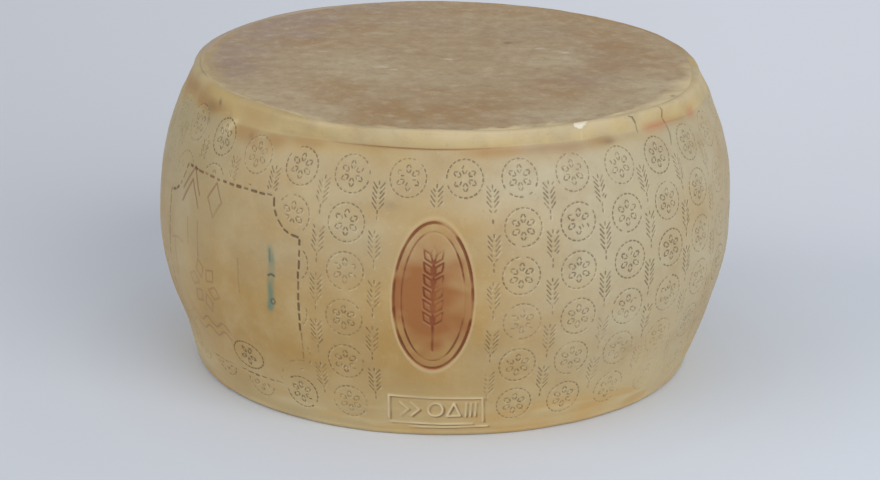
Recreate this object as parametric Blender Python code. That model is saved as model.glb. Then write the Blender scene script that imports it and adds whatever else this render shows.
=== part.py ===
"""A whole wheel of hard, long-aged cheese, standing on its flat base.

The wheel is one solid. Its side swells like a barrel, a crease runs round it just under the top,
and above the crease a steep pale rim leads up to the flat top face. The shape is a turned profile,
made slightly uneven by hand: the wheel leans a little, and no level of it is quite round.
Units are metres, +Z is up, and the origin is the middle of the base.
"""

import math

import bmesh
import bpy
from mathutils import Vector

# Driving dimensions
BELLY_RADIUS = 0.205
HEIGHT = 0.2154
FACE_RADIUS = 0.1766
CREASE_RADIUS = 0.1827
CREASE_HEIGHT = 0.2030
BELLY_HEIGHT = 0.1030
FOOT_RADIUS = 0.1802
FOOT_ROUNDING = 0.0040

# Rim and crease
RIM_CORNER = 0.0030
CREASE_DEPTH = 0.0009
CREASE_WIDTH = 0.0026

# How the side swells from the crease to the belly, and from the belly to the foot
SHOULDER_POWER = 2.86
HAUNCH_POWER = 1.54
BELLY_SOFTNESS = 0.22

# Unevenness
LEAN_DEGREES = 0.63
TOP_SHIFT = 0.0014
FOOT_SHIFT = -0.0012
OUT_OF_ROUND = (  # lobes round the wheel, their share of the radius, and where they start, in degrees
    (2, 0.0016, 20.0),
    (3, 0.0011, 75.0),
    (5, 0.0006, 10.0),
)

# Fineness of the mesh
SEGMENTS = 112
RIM_STEPS = 7
SHOULDER_STEPS = 14
HAUNCH_STEPS = 14
FOOT_STEPS = 4

# Finish
RIND_COLOUR = (0.56, 0.43, 0.24)
RIND_ROUGHNESS = 0.55


def clear_scene():
    for thing in list(bpy.data.objects):
        bpy.data.objects.remove(thing, do_unlink=True)


def rim_points():
    """The rim from the edge of the top face, round its corner and down to the crease."""
    points = []
    for step in range(RIM_STEPS):
        turn = 0.5 * math.pi * step / (RIM_STEPS - 1)
        radius = FACE_RADIUS + RIM_CORNER * math.sin(turn)
        points.append((radius, HEIGHT - RIM_CORNER * (1.0 - math.cos(turn))))
    points.append((CREASE_RADIUS, CREASE_HEIGHT + 0.5 * CREASE_WIDTH))
    points.append((CREASE_RADIUS - CREASE_DEPTH, CREASE_HEIGHT))
    return points


def swell(share, power):
    """A power curve from 0 to 1 whose start is softened, so that the belly has no ridge."""
    soft = BELLY_SOFTNESS

    def curve(place):
        return (place * place + soft * soft) ** (0.5 * power) - soft**power

    return curve(share) / curve(1.0)


def shoulder_points():
    """The side from just under the crease, swelling out to the belly."""
    start = CREASE_HEIGHT - 0.5 * CREASE_WIDTH
    points = []
    for step in range(SHOULDER_STEPS + 1):
        share = 1.0 - step / SHOULDER_STEPS
        inset = (BELLY_RADIUS - CREASE_RADIUS) * swell(share, SHOULDER_POWER)
        points.append((BELLY_RADIUS - inset, BELLY_HEIGHT + (start - BELLY_HEIGHT) * share))
    return points


def haunch_points():
    """The side from the belly down to the rounded foot."""
    points = []
    for step in range(1, HAUNCH_STEPS + 1):
        share = step / HAUNCH_STEPS
        inset = (BELLY_RADIUS - FOOT_RADIUS) * swell(share, HAUNCH_POWER)
        points.append((BELLY_RADIUS - inset, BELLY_HEIGHT - (BELLY_HEIGHT - FOOT_ROUNDING) * share))
    return points


def foot_points():
    """The rounding from the side into the flat base."""
    points = []
    for step in range(1, FOOT_STEPS + 1):
        turn = 0.5 * math.pi * step / FOOT_STEPS
        radius = FOOT_RADIUS - FOOT_ROUNDING * (1.0 - math.cos(turn))
        points.append((radius, FOOT_ROUNDING * (1.0 - math.sin(turn))))
    return points


def turned_wheel():
    """The profile turned round Z, with a flat face at the top and at the base."""
    shape = bmesh.new()
    profile = rim_points() + shoulder_points() + haunch_points() + foot_points()
    verts = [shape.verts.new((radius, 0.0, height)) for radius, height in profile]
    edges = [shape.edges.new(pair) for pair in zip(verts, verts[1:])]
    bmesh.ops.spin(
        shape,
        geom=verts + edges,
        cent=(0.0, 0.0, 0.0),
        axis=(0.0, 0.0, 1.0),
        angle=2.0 * math.pi,
        steps=SEGMENTS,
        use_merge=True,
    )
    bmesh.ops.holes_fill(shape, edges=[edge for edge in shape.edges if edge.is_boundary])
    bmesh.ops.recalc_face_normals(shape, faces=shape.faces)
    return shape


def out_of_round(angle):
    """The share by which the radius differs from a true circle's at this angle."""
    return sum(
        share * math.cos(lobes * angle + math.radians(start)) for lobes, share, start in OUT_OF_ROUND
    )


def make_uneven(shape):
    """Leans the wheel to its right, slides the top and the foot a little, and takes it out of round."""
    lean = math.tan(math.radians(LEAN_DEGREES))
    for vert in shape.verts:
        x, y, z = vert.co
        up = z / HEIGHT
        stretch = 1.0 + out_of_round(math.atan2(y, x)) * math.sin(math.pi * up)
        slide = TOP_SHIFT * up + FOOT_SHIFT * (1.0 - up)
        vert.co = Vector((x * stretch + slide, y * stretch, z - lean * x * up))


def centre_on_base(shape):
    """Puts the middle of the wheel's own box over the origin."""
    for axis in range(2):
        places = [vert.co[axis] for vert in shape.verts]
        middle = 0.5 * (min(places) + max(places))
        for vert in shape.verts:
            vert.co[axis] -= middle


def rind_material():
    material = bpy.data.materials.new("rind")
    material.use_nodes = True
    shader = material.node_tree.nodes["Principled BSDF"]
    shader.inputs["Base Color"].default_value = (*RIND_COLOUR, 1.0)
    shader.inputs["Roughness"].default_value = RIND_ROUGHNESS
    shader.inputs["Metallic"].default_value = 0.0
    return material


def build_wheel():
    shape = turned_wheel()
    make_uneven(shape)
    centre_on_base(shape)
    mesh = bpy.data.meshes.new("cheese_wheel")
    shape.to_mesh(mesh)
    shape.free()
    mesh.shade_smooth()
    mesh.set_sharp_from_angle(angle=math.radians(40.0))
    mesh.materials.append(rind_material())
    wheel = bpy.data.objects.new("cheese_wheel", mesh)
    bpy.context.scene.collection.objects.link(wheel)
    return wheel


clear_scene()
build_wheel()
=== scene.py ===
"""A whole wheel of hard, long-aged cheese on a plain pale floor, in soft studio light.

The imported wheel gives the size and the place. The visible wheel is made again with its true relief,
as eight panels for the side and four quarters each for the top face and the base, because a piece
holds only so many triangles. The pieces are closed, meet edge to edge and ride on the wheel's body.

A place on the side is a bearing in degrees from the front, growing to the right, and a depth, the
way down the surface from the nominal crease. Sizes are in millimetres unless a name says otherwise.
"""

import math

import bmesh
import bpy
import numpy as np
from mathutils import Euler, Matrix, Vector


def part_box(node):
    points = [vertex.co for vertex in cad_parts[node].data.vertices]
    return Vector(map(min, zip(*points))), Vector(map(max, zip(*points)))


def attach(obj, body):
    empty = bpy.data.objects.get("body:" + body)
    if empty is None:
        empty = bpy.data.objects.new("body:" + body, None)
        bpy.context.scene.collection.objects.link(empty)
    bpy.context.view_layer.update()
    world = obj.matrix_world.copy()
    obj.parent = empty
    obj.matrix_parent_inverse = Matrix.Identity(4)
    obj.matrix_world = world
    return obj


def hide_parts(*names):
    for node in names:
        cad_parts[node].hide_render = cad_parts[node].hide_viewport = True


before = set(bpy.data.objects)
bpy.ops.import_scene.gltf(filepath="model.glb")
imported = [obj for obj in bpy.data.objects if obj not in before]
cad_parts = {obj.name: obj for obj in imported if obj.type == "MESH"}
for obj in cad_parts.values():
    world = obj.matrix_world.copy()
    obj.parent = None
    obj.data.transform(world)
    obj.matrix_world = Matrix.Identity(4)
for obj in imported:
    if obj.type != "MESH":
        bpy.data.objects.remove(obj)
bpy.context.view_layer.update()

NODE = "cheese_wheel"
BODY = "root"
MM = 0.001
SEED = 11

# The wheel's own dimensions, as in the part's source
BELLY_RADIUS = 205.0
HEIGHT = 215.4
FACE_RADIUS = 176.6
CREASE_RADIUS = 182.7
CREASE_HEIGHT = 203.0
BELLY_HEIGHT = 103.0
FOOT_RADIUS = 180.2
FOOT_ROUNDING = 4.0
CREASE_DEPTH = 0.8
CREASE_WIDTH = 2.6
SHOULDER_POWER = 2.86
HAUNCH_POWER = 1.54
BELLY_SOFTNESS = 0.22
LEAN_DEGREES = 0.63
TOP_SHIFT = 1.4
FOOT_SHIFT = -1.2
OUT_OF_ROUND = (  # lobes round the wheel, their share of the radius, and where they start, in degrees
    (2, 0.0016, 20.0),
    (3, 0.0011, 75.0),
    (5, 0.0006, 10.0),
)

# The rim that curls over the worn face
RIM_CORNER = 2.6
WORN_ROUNDING = 2.2
WORN_FILL = 2.2
WORN_FILL_REACH = 8.5
RIM_BULGE = 0.5
SOFT_CREASE_RUN = 1.1
CREST_OUT = 1.2
TUCK_WIDTH = 2.4
TUCK_DEPTH = 1.8
FACE_SINK = 0.55
FACE_UNDER_RIM = 0.35
BASE_RADIUS = 172.0
BASE_SINK = 0.2
UNDER_RADIUS = 170.5

# How the face's edge wanders outwards and down, and how far the crease lies above its nominal height:
# each pair is a bearing and millimetres
EDGE_WANDER = (
    (-150, -1), (-120, 0), (-95, -1.5), (-72, -2.2), (-57, 0), (-47, -2), (-36, 2),
    (-26, 4.5), (-15, 1.2), (1, -1.6), (11, -0.2), (20, -2.6), (34, -2.8), (45, -1.2),
    (66, 2.6), (90, 0), (120, -1), (150, 1), (180, 0),
)
EDGE_OUT_SHARE = 0.40
EDGE_DOWN_SHARE = 0.19
CREASE_LIFT = (
    (-130, 0.5), (-100, -4), (-83, -7), (-68, -4), (-54, 0.5), (-42, -0.7), (-25, 0),
    (1, 0.3), (17, 1.6), (37, 1), (55, 0), (66, -2.6), (90, -1.5), (130, 1), (180, -1),
)
CORNER_WORN = (  # how far the rim's corner is worn back, by bearing
    (-172, 0), (-150, 2.4), (-138, 4), (-122, 4.4), (-108, 3.4), (-98, 2.2), (-88, 0.9), (-74, 0),
    (58, 0), (74, 1.8), (88, 3.6), (102, 1.8), (120, 0),
)
WORN_CORNER_ROUNDING = 0.8
SIDE_SWELLS = (  # how far the side stands out, then bearing, half width, height and half height
    (2, 90, 20, 199, 7.5), (-4.2, -92, 34, 33, 24), (-1.5, 92, 30, 36, 32),
)
WANDER_SOFTNESS_DEGREES = 2.2
WANDER_STEP_DEGREES = 0.25
WANDER_REACH_STEPS = 40
LIFT_FADE = 5.0

# Round the wheel: where the rim and the face run together, as the middle bearing, how far it reaches
# and how softly it ends, stretches where the rim's crest gets a painted highlight and the face's pale edge
# is wider, as the middle bearing, the half width and the strength
MERGED = ((-84, 58, 34), (80, 52, 32))
CREST_HIGHLIGHT = ((10, 36, 1.1), (36, 9, 0.3), (68, 12, 0.7), (-29, 9, 0.1))
EDGE_WIDER = ((-48, 34, 0.022), (66, 27, 0.060))

# Colour on the rim: how many rows the painted highlight on the crest takes and how many more round a
# bearing, the rows of the crease's line, and the back, which begins this far to either side of a bearing in
# front
CREST_HIGHLIGHT_ROWS = 6.0
CREST_HIGHLIGHT_ROWS_MORE = 7.0
CREST_HIGHLIGHT_WIDER = (16.0, 26.0)
CREASE_LINE_ROWS = 1.7
FRONT_BEARING = 6.0
BACK_START = 78.0
BACK_FADE = 30.0

# The seam where the ends of the moulding band met
SEAM_BEARING = -52.4
SEAM_DROP = 3.6
SEAM_FADE_DEGREES = 15.0
SEAM_WIDTH_DEGREES = 2.0

# Fineness of the pieces
PANELS = 8
PANEL_COLUMNS = 264
COLUMNS = PANELS * PANEL_COLUMNS
FIRST_BORDER = -24.5
TUCK_STEPS = 6
CORNER_STEPS = 7
RIM_STEPS = 17
CREASE_STEPS = 9
SIDE_STEPS = 313
FOOT_STEPS = 9
UNDER_STEPS = 4
FACE_STEPS = 200
BASE_STEPS = 90
PANEL_APEX = (0.0, 0.0, 0.060)
FACE_APEX = (0.0, 0.0, 0.190)
BASE_APEX = (0.0, 0.0, 0.020)
SOFT_EDGE = 0.62

# The map for baking: the sheet's margin and share of it, and a strip for the hidden closing faces
BAKE_MAP = "OFBake"
MAP_MARGIN = 0.01
MAP_SHARE = (0.86, 0.98)
HIDDEN_STRIP = (0.90, 0.90, 0.985)

# The dotted net pressed into the side
NET_COLUMNS = 32
RING_BEARING = -7.7
NET_STEP_DEGREES = 360.0 / NET_COLUMNS
NET_ROWS = 6
NET_TOP = 19.5
NET_ROW_STEP = 33.0
NET_SPIRAL = -5.0
RING_RADIUS = 13.0
DASH = 1.9
DASH_GAP = 1.75
DASH_HALF_WIDTH = 0.50
IMPRINT_DEPTH = 0.55
IMPRINT_LIP = 0.16
# Pale specks beside some dashes are a painted highlight on their lit side: how often, how far across and
# down, and how wide
HIGHLIGHT_SPECK_CHANCE = 0.30
HIGHLIGHT_SPECK_SHIFT = (0.75, 0.65)
HIGHLIGHT_SPECK_HALF_WIDTH = 0.45
MISSED_CHANCE = 0.05
NET_SLIP_DOWN = 0.35
NET_SLIP_ACROSS = 0.5
NET_LEAN = 1.2
MOTIF_FIRMNESS = (0.78, 1.0)
DASH_FIRMNESS = (0.65, 1.0)
NET_END = 203.0

# The burnt mark, the plaque and the small plate
MARK_BEARING = -2.0
MARK_DEPTH = 99.7
MARK_HALF_WIDTH = 26.5
MARK_HALF_HEIGHT = 52.0
MARK_INSET = (5.2, 6.0)
SCORCH_WANDER = 9.0
SCORCH_STEPS = ((-22.0, 26.0, 0.66), (22.0, 16.0, -0.34))  # start below the middle, length and gain
GRAINS = 6
GRAIN_START = 20.0
GRAIN_STEP = 8.6
GRAIN_TURNS = (-58.0, 238.0)
BARE_BY_MARK = (-12.0, 8.2, 37.0)  # first and last bearing, and the depth where it starts
PLAQUE_BEARING = -49.0
PLAQUE_DEPTH = 112.0
PLAQUE_HALF_WIDTH = 74.0
PLAQUE_HALF_HEIGHT = 69.0
PLAQUE_SCOOP = 24.0
PLAQUE_DASHES = (4.4, 3.1)
PLAQUE_SLIP = 0.22
PLAQUE_STRETCH = (0.55, 1.35)
PLAQUE_WIDTHS = (0.65, 0.95)
PLAQUE_FIRMNESS = (0.45, 1.0)
PLATE_BEARING = -1.2
PLATE_DEPTH = 186.5
PLATE_HALF_WIDTH = 34.0
PLATE_HALF_HEIGHT = 11.0
# How far the groove with painted shadow lies from each of the plate's lines, across and down
GROOVE_SHADOW_SHIFT = (1.4, 1.2)
CHIP_BEARING = 29.6
INK_BEARING = -34.6

# Stains under the crease: first and last bearing, how far below the crease they start, their height
# and their strength
BROWN_BANDS = (
    (-106, -55, -14, 17, 1), (-77, -50, -7, 11, 1), (-51, -40, 0, 11.5, 0.9),
    (-44, -32, 0, 12, 1), (-38, -23, -0.5, 7, 0.75), (-31, -8, -0.5, 4.5, 0.6),
    (2, 19, 0.6, 5.4, 1), (28, 40, -0.4, 6, 0.9), (38, 46, 0.5, 4, 0.5),
    (54, 64, -1.5, 5.5, 0.6), (92, 128, 0, 5, 0.6), (150, 186, 0, 4, 0.5),
    (205, 240, 0, 5, 0.6), (-52, -35, -15, 17, 0.4),
)
DULL_BANDS = (
    (12, 36, 0.2, 7.4, 1), (33, 39, -0.6, 4.2, 0.8), (-46.5, -43, 5.5, 5.5, 0.5),
    (120, 160, 0, 4, 0.6),
)
RED_BANDS = (
    (45.5, 56.5, -2.5, 6, 1), (63.5, 68.5, -4.5, 8, 0.9), (3, 19, -0.5, 6, 0.2),
)
GLOW_BANDS = (
    (-110, -24, -15, 22, 0.9), (-46, -4, 0, 15, 0.7), (-6, 60, 0, 8, 0.5),
    (80, 240, 1, 10, 0.5),
)
BAND_RAGGED = 0.35

# Soft round patches on the side: bearing, depth, half width, half height and strength of each
WARM_PATCHES = (
    (-43, 138, 50, 42, 0.35), (-2.4, 170, 60, 28, 0.12), (-27, 132, 20, 24, 0.30),
    (-10, 12, 50, 14, 0.25), (1, 52, 24, 12, 0.30), (-36, 44, 18, 14, -0.20),
    (7, 138, 22, 22, -0.25), (17, 140, 18, 20, 0.20), (6, 80, 16, 16, 0.20),
    (-2, 84, 56, 62, 0.40), (-2, 145, 76, 66, 0.50), (-13, 156, 38, 32, -0.32),
    (-46, 82, 56, 60, 0.25), (28.8, 198, 50, 20, 0.15), (57, 66, 34, 26, 0.36),
    (34, 70, 52, 50, -0.14), (62, 124, 40, 36, -0.12), (56, 22, 40, 24, -0.25),
    (13, 22, 60, 16, -0.20), (-48, 188, 40, 20, 0.35), (15, 64, 26, 30, 0.15),
    (-52, 62, 24, 30, 0.15), (-33, 62, 50, 18, 0.14), (16, 31, 40, 12, -0.15),
    (6.5, 118, 9, 16, 0.30), (-35, 80, 20, 18, -0.20), (34, 150, 26, 22, -0.25),
    (49, 12, 26, 12, -0.20), (21.8, 13, 16, 9, 0.18), (-52, 36, 18, 14, -0.20),
)
NET_FAINT = (
    (-78, 50, 74, 60, 0.62), (82, 40, 60, 60, 0.20), (-22, 140, 30, 40, 0.25), (8, 205, 60, 12, 0.25),
    (50, 186, 60, 40, 0.35),
)
OUTLINE_WORN = ((-62, 185, 80, 45, 1), (-31, 164, 30, 42, 0.9), (-70, 110, 24, 60, 0.4))
OUTLINE_REDDISH = ((-54, 46, 24, 8, 1), (-38.5, 88, 7, 10, 0.7))
BURN_WORN = ((2, 66, 14, 18, 0.30), (4.6, 108, 9, 12, 0.35), (-9.2, 124, 7, 13, 0.45))
SCORCHED = (
    (-6.5, 99, 18, 11, 0.75), (-2, 81, 24, 8, 0.64), (-3, 118, 12, 7, 0.60), (-3.6, 138, 11, 8, 0.25),
    (-8.6, 125, 9, 12, -0.55), (1.8, 137, 12, 10, -0.45),
)
# Painted light on the left and right flanks, as paler patches
SIDE_PAINTED_LIGHT = ((-61, 120, 22, 38, 0.28), (66, 121, 20, 18, 0.22))
SIDE_SPOTS = (
    (-57.6, -5.5, 1.8, 2.2, 1), (-60.4, 9, 2.6, 2, 0.6), (-71.6, 26.6, 2, 1.6, 0.5),
    (-10.6, 37.9, 5, 3.4, 0.32), (-44.6, 8, 2.2, 2, 0.5), (36.5, 1.5, 6, 2, 0.6), (-61, 0.5, 8, 5, 0.35),
)
OLIVE_PATCHES = (
    (-66, 20, 110, 70, 1), (-120, 60, 120, 80, 0.5), (150, 50, 200, 90, 0.3), (18, 186, 18, 10, 0.4),
)
# Places low on the side that the painted light from below leaves out
UNLIT_LOW_PATCHES = ((16, 185, 28, 13, 0.6), (-48, 190, 30, 13, 0.5), (-15, 187, 22, 12, 0.5))
AMBER_PATCHES = ((24, 203, 60, 14, 1), (37, 197, 34, 12, 0.5), (-56, 178, 26, 16, 0.3))

# Thin cracks over the rim: bearings and depths
CRACKS = (
    ((42.8, -12.5), (43.8, -11.0), (44.6, -6.5), (45.0, 0.5)),
    ((53.0, -13.5), (54.0, -9.5), (53.7, -4.5), (54.8, 0.5), (54.8, 8.0), (53.9, 15.0)),
)

# Soft noises on the side: cells round the wheel, cells down, and a number for the seed
SIDE_NOISES = {
    "swell": (16, 5, 30), "ripple": (44, 13, 31), "dimple": (150, 38, 32), "pit": (520, 120, 33),
    "broad": (40, 12, 2), "grain": (260, 60, 1), "net": (22, 7, 3), "outline": (120, 30, 8),
    "faint": (70, 20, 4), "burn": (90, 26, 5), "burn grain": (300, 80, 9), "scorch": (80, 28, 10),
    "scorch edge": (150, 34, 27), "plate": (170, 46, 11), "ink": (420, 50, 6), "crack": (420, 90, 12),
    "crest": (84, 10, 40), "yellow": (110, 14, 41), "rust": (90, 8, 16), "streaks": (56, 64, 24),
    "band edge": (60, 30, 14), "band grain": (200, 60, 7), "warmth": (120, 36, 13),
    "olive": (60, 20, 15), "grime": (150, 26, 18), "amber": (70, 30, 19), "smears": (64, 70, 22),
}

# How well each mark has kept: its level, how far the noise of its name swings it, and the least left
MARK_KEPT = {
    "net": (0.86, 0.16, 0.12),
    "outline": (1.05, 0.10, 0.15),
    "faint": (0.70, 0.35, 0.10),
    "burn": (0.85, 0.30, 0.25),
    "plate": (0.75, 0.35, 0.20),
    "ink": (0.72, 0.35, 0.25),
    "crack": (0.80, 0.30, 0.20),
    "rust": (0.90, 0.40, 0.00),
    "amber": (0.80, 0.40, 0.00),
}

# Heights in the side's surface: its soft waves, and each mark's own height, with a softness in columns
# where the mark is blurred first
SIDE_WAVES = (("swell", 0.40), ("ripple", 0.20), ("dimple", 0.08), ("pit", 0.030))
MARK_HEIGHTS = (
    ("highlight_speck", 0.12), ("outline", -0.9), ("faint", -0.3), ("burn_line", -1.35), ("burn_tint", -0.35),
    ("burn_lip", 0.35), ("plate_groove_shadow", -0.45), ("pale", 0.35), ("chip", -0.9), ("spot", -0.25),
    ("crack", -0.35),
)
SOFT_HEIGHTS = (("outline", 0.25, 2.5), ("burn_line", 0.45, 3.0), ("plate", 0.80, 0.8))

# Patches on the worn face: middle and half size across and down, and strength
OCHRE_PATCHES = (
    (-77, -88, 26, 26, 1), (-46, -132, 31, 42, 1), (-18, -144, 42, 42, 1), (30, -116, 34, 24, 0.6),
    (-79, -106, 15, 28, 1), (34, -84, 36, 15, 0.7), (82, -48, 32, 17, 0.8), (112, -4, 20, 30, 0.8),
    (120, 46, 18, 34, 0.7), (106, 86, 26, 18, 0.6), (-86, 95, 40, 18, 1), (138, 11, 24, 50, 0.4),
    (78, -78, 34, 14, 0.9), (115, 132, 46, 24, 0.6), (-10, 40, 110, 50, 0.35),
    (-60, 140, 60, 22, 0.5), (40, 150, 50, 20, 0.5), (-110, 46, 30, 22, 1),
    (-17, -84, 30, 14, 0.6), (-146, -26, 22, 30, 0.5),
)
MAUVE_PATCHES = (
    (-156, 10, 26, 60, 1), (-140, 60, 30, 40, 1), (-112, 108, 40, 30, 1), (-66, 150, 44, 18, 0.8),
    (108, 4, 30, 42, 0.25), (96, -40, 30, 22, 0.5), (60, 90, 40, 30, 0.3), (-152, -34, 22, 34, 1),
    (-30, 110, 46, 24, 0.4), (-146, -26, 22, 20, 1), (-114, 66, 24, 18, 1),
)
PALE_PATCHES = (
    (-128, -76, 26, 28, 0.35), (-108, -100, 26, 22, 0.6), (-70, -10, 40, 34, 0.6), (-46, -44, 26, 12, 0.7),
    (70, 6, 26, 16, 1), (92, -134, 40, 18, 0.9), (140, -60, 26, 34, 0.8), (-84, -134, 20, 22, 0.9),
    (128, -92, 30, 26, 0.7), (-4, -40, 30, 10, 0.6), (46, 34, 22, 12, 0.5),
)
FACE_SPOTS = (
    (43, 55, 3.5, 4, 0.8), (-151, -26, 18, 16, 0.2), (155, -81, 1.8, 2.4, 0.9), (-163, 38, 4, 10, 0.3),
)
SCARS = (
    (76, 32, 5, 2.5, 1), (65, 39, 8, 2, 0.7), (85, 28, 4, 2, 0.9), (58, 46, 4, 1.6, 0.5),
    (2, 5, 6, 2.2, 0.8), (-46, -22, 7, 2.2, 0.6), (-38, -28, 3, 1.6, 0.7), (-90, 18, 5, 2, 0.5),
)

# Noise over the face, as cells and seed, and the height of each
FACE_NOISES = ((9, 50), (34, 51), (110, 52), (260, 53))
FACE_HEIGHTS = (0.30, 0.10, 0.09, 0.05)
BASE_WEAR = 0.25

# Colours laid over another, in order: the mark, its share and the colour in screen values
# The crest's pale colour is a painted highlight
RIM_LAYERS = (("rim", 0.80, (190, 164, 104)), ("crest", 0.90, (188, 169, 132)))
STAIN_AND_PAINTED_LIGHT_LAYERS = (
    ("rusty", 0.80, (148, 112, 74)),
    ("taupe", 0.90, (162, 142, 122)),
    ("olive", 0.55, (152, 139, 101)),
    ("glow", 0.76, (172, 144, 86)),
    ("brown", 0.95, (150, 115, 60)),
    ("dull", 0.95, (146, 118, 86)),
    ("red", 0.80, (170, 114, 76)),
    # Painted light low on the side, for light thrown up from the floor
    ("low", 0.38, (192, 174, 128)),
    ("amber", 0.80, (178, 142, 84)),
    ("foot", 0.40, (140, 112, 70)),
    # Pale streaks low down, the painted highlight on the seam's fold and the painted light on the flanks
    ("pale", 0.65, (196, 179, 136)),
    ("crease", 0.85, (146, 92, 50)),
    ("burn_glow", 0.45, (168, 134, 82)),
    ("burn_lip", 0.50, (194, 170, 128)),
    ("burn_tint", 0.95, (139, 85, 37)),
    ("faint", 0.75, (122, 84, 50)),
    # Painted highlight beside some of the net's dots
    ("highlight_speck", 0.50, (192, 178, 146)),
)
PRESSED_LAYERS = (
    ("burn_line", 0.84, (118, 54, 10)), ("imprint", 0.74, (88, 74, 46)), ("outline", 0.85, (84, 64, 40)),
)
LAST_LAYERS = (
    ("reddish", 0.80, (134, 74, 42)),
    # The plate's pale raised lines, partly a painted highlight
    ("plate", 0.80, (204, 188, 152)),
    # Painted shadow in the groove beside each of the plate's lines
    ("plate_groove_shadow", 0.85, (124, 92, 54)),
    ("ink", 0.80, (78, 112, 96)),
    ("blot", 0.85, (44, 60, 56)),
    ("spot", 0.70, (96, 72, 42)),
    ("crack", 0.75, (86, 68, 44)),
    ("chip", 0.95, (216, 206, 184)),
)
FACE_LAYERS = (
    ("ochre", 0.90, (156, 124, 83)), ("mauve", 0.82, (155, 134, 119)), ("pale", 0.75, (180, 164, 134)),
)
FACE_TOP_LAYERS = (
    ("scar", 0.80, (206, 196, 176)), ("tan", 0.80, (170, 147, 106)), ("edge", 0.90, (202, 183, 142)),
    ("spot", 0.60, (88, 64, 42)),
)
GREY = (0.5, 0.5, 0.5, 1.0)

# The studio
FLOOR_HALF_SIZE = 60.0
KEY = {"bearing": 38.0, "elevation": 22.0, "softness": 55.0, "strength": 1.95}
FILL = {"bearing": -68.0, "elevation": 16.0, "softness": 60.0, "strength": 1.33}
SKY_STRENGTH = 0.63
SKY_TONE = (236, 240, 246)

# Camera
CAMERA_DISTANCE = 2.1525
CAMERA_ELEVATION_DEGREES = 17.743
CAMERA_ROLL_DEGREES = 0.53
CAMERA_LENS = 121.46
CAMERA_SENSOR = 36.0
CAMERA_REACH = 200.0
CAMERA_AIM = (-0.0032, 0.0, 0.5 * HEIGHT * MM - 0.0275)


def round_mm(bearing):
    """Millimetres round the belly from the front."""
    return math.radians(bearing) * BELLY_RADIUS


def unit(layer):
    """A layer held between 0 and 1."""
    return np.clip(layer, 0.0, 1.0)


def ease(share):
    """A soft step from 0 to 1."""
    share = unit(share)
    return share * share * (3.0 - 2.0 * share)


def bell(away):
    """1 at no distance, falling off softly."""
    return np.exp(-(away**2))


def from_bearing(bearing, other):
    """Degrees from another bearing, within half a turn."""
    return (bearing - other + 180.0) % 360.0 - 180.0


def near(bearing, middle, width):
    """1 at a bearing, falling off softly over this many degrees to either side."""
    return bell(from_bearing(bearing, middle) / width)


def stretches_round(bearing, places):
    """Soft stretches round the wheel, summed."""
    return sum(strength * near(bearing, middle, width) for middle, width, strength in places)


# ---- Shape of the side ----


def swell(share, power):
    """A power curve from 0 to 1 whose start is softened, so that the belly has no ridge."""
    soft = BELLY_SOFTNESS

    def curve(place):
        return (place * place + soft * soft) ** (0.5 * power) - soft**power

    return curve(share) / curve(1.0)


def side_radius(height):
    """The side's radius at a height, by the part's own profile."""
    start = CREASE_HEIGHT - 0.5 * CREASE_WIDTH
    above = np.clip((height - BELLY_HEIGHT) / (start - BELLY_HEIGHT), 0.0, 1.2)
    below = unit((BELLY_HEIGHT - height) / (BELLY_HEIGHT - FOOT_ROUNDING))
    shoulder = (BELLY_RADIUS - CREASE_RADIUS) * swell(above, SHOULDER_POWER)
    haunch = (BELLY_RADIUS - FOOT_RADIUS) * swell(below, HAUNCH_POWER)
    return BELLY_RADIUS - np.where(height > BELLY_HEIGHT, shoulder, haunch)


def column_bearings():
    return FIRST_BORDER + 360.0 / COLUMNS * np.arange(COLUMNS)


def wander_round(pairs, bearing):
    """A soft closed curve through pairs of bearing and value, at these bearings."""
    fine = np.arange(-180.0, 180.0, WANDER_STEP_DEGREES)
    places, values = zip(*pairs)
    curve = np.interp(fine, places, values, period=360.0)
    steps = WANDER_REACH_STEPS
    reach = np.arange(-steps, steps + 1) * WANDER_STEP_DEGREES
    weights = np.exp(-0.5 * (reach / WANDER_SOFTNESS_DEGREES) ** 2)
    padded = np.concatenate([curve[-steps:], curve, curve[:steps]])
    softened = np.convolve(padded, weights / weights.sum(), "valid")
    return np.interp(bearing, fine, softened, period=360.0)


def crease_lift(bearing):
    """How far the crease lies above its nominal height; it drops at the seam of the moulding band."""
    past = from_bearing(bearing, SEAM_BEARING)
    step = ease(past / SEAM_WIDTH_DEGREES + 0.5)
    drop = SEAM_DROP * step * np.exp(-np.maximum(past, 0.0) / SEAM_FADE_DEGREES)
    return wander_round(CREASE_LIFT, bearing) - drop


def crease_hold(bearing):
    """How sharply the crease is drawn: fully in front, partly behind, and worn soft elsewhere."""
    behind = 0.8 * near(bearing, 170.0, 50.0)
    return np.maximum(0.14, np.maximum(near(bearing, -8.0, 17.0), behind))


def worn_left(bearing):
    """How far the rim is worn round, which is most at the left."""
    return near(bearing, -68.0, 30.0)


def merged(bearing):
    """How far the rim and the face run together, which is at both sides."""
    sides = (ease((reach - np.abs(from_bearing(bearing, middle))) / fade) for middle, reach, fade in MERGED)
    return np.maximum(*sides)


def crest_radius(bearing):
    wander = EDGE_OUT_SHARE * wander_round(EDGE_WANDER, bearing)
    return FACE_RADIUS + CREST_OUT + wander - wander_round(CORNER_WORN, bearing)


def side_swells(bearing, height):
    """How far the side stands out beyond its even profile."""
    out = 0.0
    for millimetres, middle, half_width, level, half_height in SIDE_SWELLS:
        across = near(bearing, middle, half_width)
        out = out + millimetres * across * bell((height - level) / half_height)
    return out


def shares(count):
    """Even shares up to 1, without 0, as a column."""
    return np.linspace(0.0, 1.0, count + 1)[1:, None]


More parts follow.
